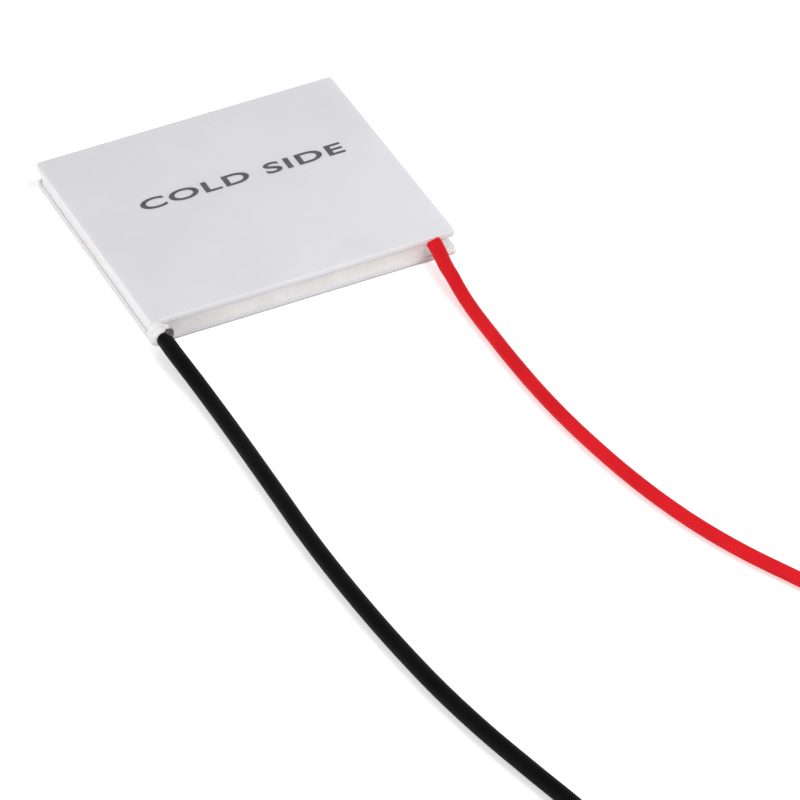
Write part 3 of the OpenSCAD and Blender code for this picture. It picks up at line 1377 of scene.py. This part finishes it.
@dataclass(frozen=True)
class Viewpoint:
    """Where the camera stands: round the module, tilted, and slid sideways."""

    azimuth: float = -19.75
    elevation: float = 35.22
    roll: float = -5.55
    distance: float = 0.8119
    slide_right: float = 0.01911
    slide_up: float = -0.02237
    lens: float = 296.0
    sensor: float = 36.0
    nearest: float = 0.01
    farthest: float = 20.0

    def place(self) -> None:
        """Makes the scene's camera."""
        a, e, r = (math.radians(v) for v in (self.azimuth, self.elevation, self.roll))
        back = Vector((math.sin(a) * math.cos(e), -math.cos(a) * math.cos(e), math.sin(e)))
        level = Vector((0, 0, 1)).cross(back).normalized()
        above = back.cross(level)
        right = math.cos(r) * level + math.sin(r) * above
        up = math.cos(r) * above - math.sin(r) * level
        spot = back * self.distance + right * self.slide_right + up * self.slide_up
        data = bpy.data.cameras.new("camera")
        data.lens = self.lens
        data.sensor_width = self.sensor
        data.clip_start = self.nearest
        data.clip_end = self.farthest
        camera = linked("camera", data)
        turn = Matrix((right, up, back)).transposed().to_4x4()
        camera.matrix_world = Matrix.Translation(spot) @ turn
        bpy.context.scene.camera = camera


@dataclass(frozen=True)
class Softbox:
    """A large square lamp that looks at the module."""

    name: str
    spot: Spot
    side: float
    power: float
    aim: Spot = (0.0, -0.03, 0.0)

    def place(self) -> None:
        """Makes the lamp."""
        data = bpy.data.lights.new(self.name, "AREA")
        data.shape = "SQUARE"
        data.size = self.side
        data.energy = self.power
        lamp = linked(self.name, data)
        lamp.location = self.spot
        way = Vector(self.aim) - Vector(self.spot)
        lamp.rotation_euler = way.to_track_quat("-Z", "Y").to_euler()


@dataclass(frozen=True)
class Studio:
    """A pale floor under a white sky, with soft lamps."""

    floor_reach: float = 4.0
    floor_drop: float = 0.02 * MM
    floor_light: Colour = srgb(242, 242, 243)
    floor_dark: Colour = srgb(238, 238, 240)
    floor_scale: float = 3.0
    glow: float = 0.46
    sky_strength: float = 0.375
    lamps: tuple[Softbox, ...] = (
        Softbox("left_box", (-0.75, -0.1, 0.14), 0.5, 4.5),
        Softbox("front_box", (0.138, -0.163, 0.243), 0.2, 0.66),
    )

    def build(self) -> None:
        """Builds the floor, the sky and the lamps."""
        self.build_floor()
        self.build_sky()
        for lamp in self.lamps:
            lamp.place()
        scene = bpy.context.scene
        scene.view_settings.view_transform = "Standard"

    def build_floor(self) -> None:
        """Makes the floor: pale, with a faint glow of its own to the camera."""
        shape = bmesh.new()
        bmesh.ops.create_grid(shape, x_segments=1, y_segments=1, size=self.floor_reach)
        mesh = bpy.data.meshes.new("floor")
        shape.to_mesh(mesh)
        shape.free()
        mesh.transform(Matrix.Translation((0, 0, -self.floor_drop)))
        material = bpy.data.materials.new("floor")
        material.use_nodes = True
        material.node_tree.nodes.clear()
        weave = Weave(material.node_tree)
        place = weave.add("ShaderNodeTexCoord").outputs["Object"]
        tone = weave.mix(weave.noise(place, self.floor_scale), self.floor_dark, self.floor_light)
        paper = weave.first("ShaderNodeBsdfDiffuse", {"Color": tone})
        glow = weave.first("ShaderNodeEmission", {"Color": WHITE, "Strength": self.glow})
        both = weave.first("ShaderNodeAddShader", {0: paper, 1: glow})
        self.show(weave, paper, both, "ShaderNodeOutputMaterial")
        floor = finished("floor", mesh, material)

    def build_sky(self) -> None:
        """Makes the sky: white to look at, softer as a light."""
        world = bpy.data.worlds.new("sky")
        world.use_nodes = True
        world.node_tree.nodes.clear()
        bpy.context.scene.world = world
        weave = Weave(world.node_tree)
        light, white = (
            weave.first("ShaderNodeBackground", {"Color": WHITE, "Strength": strength})
            for strength in (self.sky_strength, 1.0)
        )
        self.show(weave, light, white, "ShaderNodeOutputWorld")

    @staticmethod
    def show(weave: Weave, lighting: Socket, seen: Socket, output: str) -> None:
        """Ends a tree that looks another way than it lights.

        Args:
            weave: The weave on the tree.
            lighting: The shader that lights the module.
            seen: The shader that is seen straight on, in a mirror or through glass.
            output: Type of the tree's output node.
        """
        rays = weave.add("ShaderNodeLightPath").outputs
        mirror = weave.math("MAXIMUM", rays["Is Glossy Ray"], rays["Is Transmission Ray"])
        direct = weave.math("MAXIMUM", rays["Is Camera Ray"], mirror)
        surface = weave.first("ShaderNodeMixShader", {0: direct, 1: lighting, 2: seen})
        weave.add(output, {"Surface": surface})


# ---------------- the module


BLACK_FLOOR = (
    (-0.0189, -0.0275), (-0.01873, -0.0305), (-0.01859, -0.0335), (-0.01852, -0.0365),
    (-0.0185, -0.04), (-0.0185, -0.045), (-0.01853, -0.051), (-0.01858, -0.058),
    (-0.01864, -0.065), (-0.0185, -0.073), (-0.0181, -0.082), (-0.01745, -0.091), (-0.0165, -0.1),
    (-0.0151, -0.109), (-0.0133, -0.118), (-0.0115, -0.1265), (-0.0101, -0.135),
    (-0.0092, -0.143), (-0.0088, -0.1505), (-0.0087, -0.1575), (-0.0087, -0.1647),
)
RED_FLOOR = (
    (0.01662, -0.0263), (0.01641, -0.0292), (0.01633, -0.032), (0.0163, -0.035),
    (0.01627, -0.039), (0.01626, -0.0445), (0.01642, -0.0515), (0.01685, -0.0584),
    (0.01755, -0.065), (0.01855, -0.072), (0.0199, -0.079), (0.0217, -0.086), (0.0241, -0.093),
    (0.0271, -0.1), (0.0302, -0.107), (0.0328, -0.114), (0.0348, -0.1215), (0.036, -0.1295),
    (0.0365, -0.1375), (0.0366, -0.146), (0.0366, -0.1535), (0.0366, -0.1608),
)


BLACK_DROP = SealDrop(
    (
        (-19.12, -20.72, 1.74, 1.24, 1.0, 1.24),
        (-19.35, -19.95, 1.85, 1.15, 0.8, 1.38),
        (-19.5, -20.05, 0.95, 0.92, 0.78, 0.94),
        (-18.35, -19.9, 1.95, 0.72, 0.32, 0.6),
    ),
    ripple=0.03 * MM,
    seed=4.2,
    inner=-18.9 * MM,
)
RED_DROP = SealDrop(
    (
        (17.15, -19.85, 1.7, 1.15, 0.32, 0.86),
        (17.7, -19.85, 1.6, 0.8, 0.3, 0.8),
    ),
    ripple=0.02 * MM,
    seed=9.7,
)
# Real solder beside the black lead's start, coloured dark grey as painted shade beside the lead;
# its last egg lies on the lead's top as a painted highlight.
SOLDER_AND_PAINTED_LIGHT = SealDrop(
    (
        (-17.7, -20.15, 1.2, 0.5, 0.45, 0.62),
        (-17.88, -20.65, 1.5, 0.42, 0.6, 0.55),
        (-18.4, -21.75, 2.42, 0.45, 0.85, 0.34),
    ),
    seed=2.3,
    voxel=0.05 * MM,
)
RED_CUT = ObliqueCut((17.1 * MM, -20.03 * MM, 3.03 * MM), (0.182, -0.631, -0.754))
BLACK_LEAD = Lead(
    name="black_lead",
    radius=1.0 * MM,
    wire_x=-18.6 * MM,
    start=(-0.4 * MM, 1.5 * MM, 0.0),
    floor=BLACK_FLOOR,
    drop=BLACK_DROP,
)
RED_LEAD = Lead(
    name="red_lead",
    radius=0.85 * MM,
    wire_x=17.45 * MM,
    start=(-0.35 * MM, 0.05 * MM, 0.25 * MM),
    floor=RED_FLOOR,
    drop=RED_DROP,
    cut=RED_CUT,
)


@dataclass(frozen=True)
class Module:
    """The whole module, dressed."""

    leads: tuple[Lead, ...] = (BLACK_LEAD, RED_LEAD)
    hot: Plate = Plate(side=Side.HOT, seed=0.7)
    cold: Plate = Plate(side=Side.COLD, seed=0.3)
    bead: SealBead = SealBead()
    mark: SideMark = SideMark()
    spill: SealDrop = SOLDER_AND_PAINTED_LIGHT

    def dress_cad(self, palette: Palette) -> None:
        """Gives every CAD node the material of its slot.

        Args:
            palette: The finishes.
        """
        slots = {row["node"]: row["material_slot"] for row in frame["record"]["subparts"]}
        for name, node in frame["nodes"].items():
            node.data.materials.clear()
            node.data.materials.append(palette.for_slot(slots[name]))

    def build(self) -> None:
        """Builds every piece, the leads first."""
        palette = Palette()
        trees = Trees(tube_tree(), strand_tree(), rim_tree())
        for lead in self.leads:
            lead.build(trees, palette)
        self.dress_cad(palette)
        self.hot.build(trees.rim, palette.hot_ceramic)
        self.cold.build(trees.rim, palette.cold_ceramic)
        self.bead.build(trees.rim, palette.silicone)
        self.mark.build(palette.ink)
        # The spilt solder carries painted shade beside the black lead and a painted highlight on
        # the lead's top.
        spill = self.spill.build("solder_spill", palette.metals["spilt_solder"])
        settle(spill, "solder")


def main() -> None:
    """Builds the camera, the module and the studio."""
    logging.basicConfig(level=logging.INFO, format="%(name)s: %(message)s")
    Viewpoint().place()
    Module().build()
    Studio().build()


if __name__ == "__main__":
    main()
